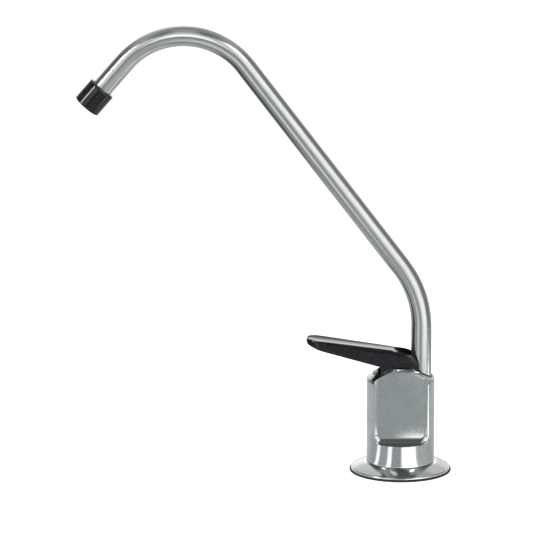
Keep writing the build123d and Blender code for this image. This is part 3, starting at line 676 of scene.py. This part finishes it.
def leverCutters():
    v, k = lever, fork
    flip = np.radians(k["flip"])
    low = flip - np.pi / 2 + np.arcsin(np.sqrt(k["reach"] ** 2 - k["liftedPin"] ** 2) / k["reach"])
    trough = [k["camEnd"]] + arc(0, 0, k["reach"], np.degrees(low), k["flip"], 14)
    wallY, wallZ = trough[-1]
    over = wallZ + v["tipTop"]
    trough += [(wallY - v["tipTop"] * np.tan(flip), over), (k["far"], over)]
    trough += [(k["far"], -k["far"]), (k["camEnd"][0], -k["far"])]
    fan = arc(0, 0, k["fanPocket"], k["flip"] - 90, k["fanLow"] + 360, 60)
    fan += arc(0, 0, k["fanReach"], k["fanLow"], k["flip"] - 90, 30)
    slope = (v["tipTop"] - v["heelTop"]) / (v["crownY"] - v["tipY"])
    ends = (k["hollowFront"], k["hollowRear"])
    hollow = [(y, v["heelTop"] + (v["crownY"] - y) * slope - k["roof"]) for y in ends]
    hollow += [(y, k["hollowFloor"]) for y in ends[::-1]]
    cutters = []
    for name, outline, left, right in (
            ("cut_trough", trough, -k["troughHalf"], k["troughHalf"]),
            ("cut_stem", fan, -k["stemHalf"], k["stemHalf"]),
            ("cut_pin", circle(0, k["pinHole"], 40), -k["pinHalf"], k["pinHalf"]),
            ("cut_left_hollow", hollow, -k["hollowHalf"], -k["ribHalf"]),
            ("cut_right_hollow", hollow, k["ribHalf"], k["hollowHalf"])):
        cutters.append(addPrism(name, np.array(outline) + (v["pinY"], v["pinZ"]), "x", left, right))
    return cutters


dress(makeLever(), glossBlack, "lever", "lever_plastic", "lever")
print("stage: lever")


# Shank: its thread is a helical ridge, r = R - depth * (1 - ridge(a / 2 pi - h / pitch)), where
# ridge is a triangle wave with its crests and roots cut flat. Over one turn at both ends r falls to
# R - chamfer.

shank = {"radius": 5.556, "top": 13.0, "bottom": -54.0, "pitch": 1.0583, "depth": 0.55, "bore": 2.4,
         "supplyBore": 3.225, "supplyDepth": 13.0, "chamfer": 0.6, "crest": 1.15, "flank": 2.53,
         "around": 48, "perPitch": 6, "sharpAngle": 50.0}


def makeShank():
    k = shank
    turns = (k["top"] - k["bottom"]) / k["pitch"]
    height = np.linspace(k["bottom"], k["top"], int(turns * k["perPitch"]))
    angle = np.linspace(0, 2 * np.pi, k["around"], endpoint=False)[:, None]
    wave = (angle / (2 * np.pi) - height / k["pitch"]) % 1
    ridge = np.clip(k["crest"] - k["flank"] * np.abs(wave - 0.5), 0, 1)
    fade = np.clip(np.minimum(height - k["bottom"], k["top"] - height) / k["pitch"], 0, 1)
    radius = k["radius"] - k["chamfer"] + (k["chamfer"] - k["depth"] * (1 - ridge)) * fade
    step = k["bottom"] + k["supplyDepth"]
    inside = [(k["bore"], k["top"]), (k["bore"], step)]
    inside += [(k["supplyBore"], step), (k["supplyBore"], k["bottom"])]
    innerR, innerZ = np.array(inside).T
    r = np.concatenate([radius, np.broadcast_to(innerR, (k["around"], len(inside)))], 1)
    z = np.broadcast_to(np.concatenate([height, innerZ]), r.shape)
    points = np.stack([r * np.cos(angle), r * np.sin(angle), z], -1)
    return addRing("visual_shank", points, 2 * np.pi * k["radius"], 2 * (k["top"] - k["bottom"]))


threaded = makeShank()
smooth(threaded, shank["sharpAngle"])
dress(threaded, turnedMetal, "root", "shank_metal", "shank")
print("stage: shank")


# CAD nodes that keep their shape and get a material

finishes = {
    "slot_cover": glossBlack, "bonnet_nut": brassMetal, "bonnet_o_ring": rubberBlack,
    "stem_o_ring": rubberBlack, "valve_stem": brassMetal, "seat_washer": rubberBlack,
    "washer_screw": steelMetal, "stem_spring": steelMetal, "lever_pin": steelMetal,
    "spout_nose": brassMetal, "spout_o_ring_lower": rubberBlack, "spout_o_ring_upper": rubberBlack,
    "spout_snap_ring": steelMetal, "shank_o_ring": rubberBlack, "locating_washer": mattBlack,
    "star_washer": steelMetal, "mounting_nut": turnedMetal, "compression_nut": turnedMetal,
    "tube_sleeve": acetalWhite,
}
for node, material in finishes.items():
    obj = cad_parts[node]
    obj.data.materials.clear()
    obj.data.materials.append(material)
print("stage: finishes")


# Camera: the photograph looks at the faucet's side from a little above, nearly without perspective.

camera = {"elevation": 12.79, "distance": 2200.0, "mmPerPixel": 0.4655, "pixels": 533,
          "aim": (0.0, -62.8, 97.7), "sensor": 36.0, "clipEnd": 20000.0}


def addCamera():
    c = camera
    lens = bpy.data.cameras.new("camera")
    eye = addObject("camera", lens)
    width = c["mmPerPixel"] * c["pixels"]
    lens.sensor_width = c["sensor"]
    lens.sensor_fit = "HORIZONTAL"
    lens.lens = c["sensor"] * c["distance"] / width
    rise = np.radians(c["elevation"])
    aim = Vector(c["aim"]) * mm
    eye.location = aim + c["distance"] * mm * Vector((np.cos(rise), 0, np.sin(rise)))
    eye.rotation_euler = (aim - eye.location).to_track_quat("-Z", "Y").to_euler()
    lens.clip_end = c["clipEnd"] * mm
    bpy.context.scene.camera = eye


addCamera()
print("stage: camera")


# Stage: a pale floor in the deck's plane, and a white surround.

stage = {"surroundLight": 0.4, "floorSize": 9000.0, "floorTone": 0.93, "floorRoughness": 0.7,
         "floorGlow": 0.55}


# 1 for the named kinds of ray, and 0 for all others.
def raysOf(nodes, links, first, *others):
    path = nodes.new("ShaderNodeLightPath")
    seen = path.outputs[first]
    for other in others:
        either = nodes.new("ShaderNodeMath")
        either.operation = "MAXIMUM"
        links.new(seen, either.inputs[0])
        links.new(path.outputs[other], either.inputs[1])
        seen = either.outputs[0]
    return seen


# White where it is seen or reflected, and dimmer as a light.
def addSurround():
    world = bpy.data.worlds.new("surround")
    world.use_nodes = True
    bpy.context.scene.world = world
    nodes, links = world.node_tree.nodes, world.node_tree.links
    seen = raysOf(nodes, links, "Is Camera Ray", "Is Glossy Ray", "Is Transmission Ray")
    glow = nodes.new("ShaderNodeBackground")
    glow.inputs["Color"].default_value = (1, 1, 1, 1)
    links.new(mapRange(nodes, links, seen, stage["surroundLight"], 1.0), glow.inputs["Strength"])
    links.new(glow.outputs["Background"], nodes["World Output"].inputs["Surface"])


def addCard(name, centre, size, facing):
    sx, sy = size[0] / 2, size[1] / 2
    points = np.array([(-sx, -sy, 0), (sx, -sy, 0), (sx, sy, 0), (-sx, sy, 0)], float)
    mesh = bpy.data.meshes.new(name)
    mesh.from_pydata([tuple(p * mm) for p in points], [], [(0, 1, 2, 3)])
    obj = addObject(name, mesh)
    obj.location = Vector(centre) * mm
    obj.rotation_euler = Vector(facing).to_track_quat("Z", "Y").to_euler()
    return obj


# The floor glows a little for the camera and in reflections, so that it reads as pale.
def addFloor():
    size, tone = stage["floorSize"], stage["floorTone"]
    floor = addCard("stage_floor", (0, 0, 0), (size, size), (0, 0, 1))
    material, nodes, links, shader = newMaterial("floor_white")
    shader.inputs["Base Color"].default_value = (tone, tone, tone, 1)
    shader.inputs["Roughness"].default_value = stage["floorRoughness"]
    seen = raysOf(nodes, links, "Is Camera Ray", "Is Glossy Ray")
    shine = nodes.new("ShaderNodeEmission")
    shine.inputs["Color"].default_value = (1, 1, 1, 1)
    links.new(mapRange(nodes, links, seen, 0.0, stage["floorGlow"]), shine.inputs["Strength"])
    add = nodes.new("ShaderNodeAddShader")
    links.new(shader.outputs["BSDF"], add.inputs[0])
    links.new(shine.outputs["Emission"], add.inputs[1])
    links.new(add.outputs["Shader"], nodes["Material Output"].inputs["Surface"])
    floor.data.materials.append(material)


addSurround()
addFloor()


# What only reflections see: round walls and discs on the floor, whose brightness goes by the
# azimuth seen from the faucet, like panels and dark gaps round it. "low" and "high" are (radius,
# height) of the two circles that a ring joins. A stop is the degrees from the camera's side,
# turning to the right, and then one grey level or a red, a green and a blue one.

wallLeft = [(-128, .30, .30, .31), (-106, .10, .10, .11), (-89, .12, .13, .15), (-80, .34, .36, .39),
            (-60, .36, .37, .39), (-50, .44, .46, .48), (-42, .95, .97, .99), (-28, 1.1)]
wallRight = [(23, 1.3), (47, 1.5), (60, 1.15, 1.15, 1.14), (70, .50, .49, .47), (89, .26, .25, .23),
             (106, .24, .23, .21), (128, .36, .35, .33)]
surround = [
    {"name": "stage_lid_high", "low": (1000.0, 1732.0), "high": (10.0, 2000.0),
     "stops": [(-180, .30), (-90, .36, .36, .37), (-40, .14), (40, .14), (90, .36)]},
    {"name": "stage_lid_low", "low": (1500.0, 1500.0), "high": (1000.0, 1732.0),
     "stops": [(-180, .85), (-120, .50), (-60, .50), (-40, .12), (40, .12), (60, .50), (120, .50)]},
    {"name": "stage_wall_high", "low": (1500.0, 600.0), "high": (1500.0, 1500.0),
     "stops": [(-180, .85), (-150, .70), *wallLeft, (-22, .12, .13, .13), (14, .12, .13, .13),
               *wallRight, (150, .70)]},
    {"name": "stage_wall", "low": (1500.0, 0.0), "high": (1500.0, 600.0),
     "stops": [(-180, 1.3), (-150, .90), *wallLeft, (-22, .20, .21, .22), (8, .16, .17, .17), (16, 1.0),
               *wallRight, (150, .90)]},
    {"name": "stage_far_disc", "low": (190.0, 1.0), "high": (1500.0, 1.0),
     "stops": [(-180, .50), (-150, .46), (-128, .26, .26, .27), (-106, .06, .06, .07),
               (-84, .10, .11, .13), (-78, .36, .38, .41), (-60, .36, .37, .40), (-46, .44, .46, .49),
               (-40, .95, .97, .99), (-27, 1.1), (-20, .44, .46, .47), (2, .40, .41, .42),
               (9, .95, .96, .96), (23, 1.4), (52, 1.6), (62, 1.1), (68, .42, .41, .39),
               (89, .22, .21, .19), (106, .20, .19, .17), (116, .46, .45, .43), (150, .50)]},
    {"name": "stage_mid_disc", "low": (78.0, 1.0), "high": (190.0, 1.0),
     "stops": [(-180, .70), (-150, .60, .60, .61), (-100, .58, .58, .59), (-90, .42, .43, .45),
               (0, .40, .43, .43), (26, .42, .44, .44), (50, .58, .60, .60), (78, .62), (82, 4.0),
               (100, 4.0), (104, .56, .56, .55), (150, .58, .58, .57)]},
    {"name": "stage_near_disc", "low": (26.0, 1.0), "high": (78.0, 1.0),
     "stops": [(-180, .80), (-128, .64, .64, .65), (-100, .46, .47, .49), (-78, .42, .44, .46),
               (-75, 1.6), (-67, 1.6), (-63, .42, .44, .46), (-39, .46, .48, .50), (-36, 2.0),
               (-29, 2.0), (-25, .42, .44, .44), (-1, .40, .41, .40), (6, 1.8), (42, 1.8),
               (48, .60, .60, .59), (100, .46, .46, .45), (128, .54, .54, .53)]},
]


# A material that shines by itself, and its emission.
def glowMaterial(name, level):
    material, nodes, links, _ = newMaterial(name)
    shine = nodes.new("ShaderNodeEmission")
    shine.inputs["Color"].default_value = (1, 1, 1, 1)
    shine.inputs["Strength"].default_value = level
    links.new(shine.outputs["Emission"], nodes["Material Output"].inputs["Surface"])
    return material, shine


# A glow that changes with the angle round the object's own upright axis, by a radial gradient.
def azimuthGlow(name, stops):
    material, shine = glowMaterial(name, 1.0)
    nodes, links = material.node_tree.nodes, material.node_tree.links
    coords = nodes.new("ShaderNodeTexCoord")
    around = nodes.new("ShaderNodeTexGradient")
    around.gradient_type = "RADIAL"
    ramp = nodes.new("ShaderNodeValToRGB")
    stack = ramp.color_ramp.elements
    for k, (degrees, *shade) in enumerate(stops):
        place = 0.5 + degrees / 360
        stop = stack[k] if k < 2 else stack.new(place)  # a new ramp has two stops
        stop.position = place
        stop.color = (*(shade if len(shade) == 3 else shade * 3), 1)
    links.new(coords.outputs["Object"], around.inputs["Vector"])
    links.new(around.outputs["Fac"], ramp.inputs["Fac"])
    links.new(ramp.outputs["Color"], shine.inputs["Color"])
    return material


def onlyReflected(obj):
    obj.visible_camera = False
    obj.visible_diffuse = False
    obj.visible_shadow = False
    obj.visible_transmission = False


# One open strip between two circles (radius, height), as a grid of points.
def addBand(name, low, high, stops, count=96):
    a = np.linspace(0, 2 * np.pi, count, endpoint=False)[:, None]
    r, h = np.array([low, high]).T
    points = np.stack([r * np.cos(a), r * np.sin(a), np.broadcast_to(h, (count, 2))], -1)
    band = addMesh(name, points, stripFaces(count, 2))
    band.data.materials.append(azimuthGlow(name + "_glow", stops))
    onlyReflected(band)


for ring in surround:
    addBand(ring["name"], ring["low"], ring["high"], ring["stops"])


# Cards for the highlights, also seen by reflections alone: two bright ones to the sides, three
# close to the spout's arch, which the low pieces hardly see, and one behind for the lever's top.
panels = [
    {"name": "stage_panel_left", "place": (586, -1101, 636), "facing": (-586, 1101, -636),
     "size": (230, 620), "level": 12.0},
    {"name": "stage_panel_right", "place": (625, 745, 1007), "facing": (-625, -745, -1007),
     "size": (300, 260), "level": 5.0},
    {"name": "stage_arch_low", "place": (150, -100, 257), "facing": (-1, 0, 0),
     "size": (100, 78), "level": 1.6},
    {"name": "stage_arch_high", "place": (150, -100, 373), "facing": (-1, 0, 0),
     "size": (100, 154), "level": 0.8},
    {"name": "stage_arch_top", "place": (60, -100, 450), "facing": (-0.3, 0, -1),
     "size": (100, 130), "level": 0.55},
    {"name": "stage_lever_glow", "place": (-700, 30, 230), "facing": (1, 0, 0),
     "size": (180, 260), "level": 1.7},
]
for spec in panels:
    panel = addCard(spec["name"], spec["place"], spec["size"], spec["facing"])
    panel.data.materials.append(glowMaterial(spec["name"], spec["level"])[0])
    onlyReflected(panel)

# Area lamps for the plain light, which reflections don't show.
lampAim = (0, 0, 80)
lamps = [
    {"name": "lamp_top", "place": (200, -200, 1100), "size": 700, "power": 6.0},
    {"name": "lamp_right", "place": (700, 700, 500), "size": 500, "power": 3.5},
    {"name": "lamp_left", "place": (500, -800, 500), "size": 350, "power": 2.0},
]
for spec in lamps:
    light = bpy.data.lights.new(spec["name"], "AREA")
    light.size = spec["size"] * mm
    light.energy = spec["power"]
    lamp = addObject(spec["name"], light)
    lamp.location = Vector(spec["place"]) * mm
    lamp.visible_glossy = False
    lamp.rotation_euler = (Vector(lampAim) - Vector(spec["place"])).to_track_quat("-Z", "Y").to_euler()

bpy.context.scene.view_settings.view_transform = "Standard"
print("stage: light")
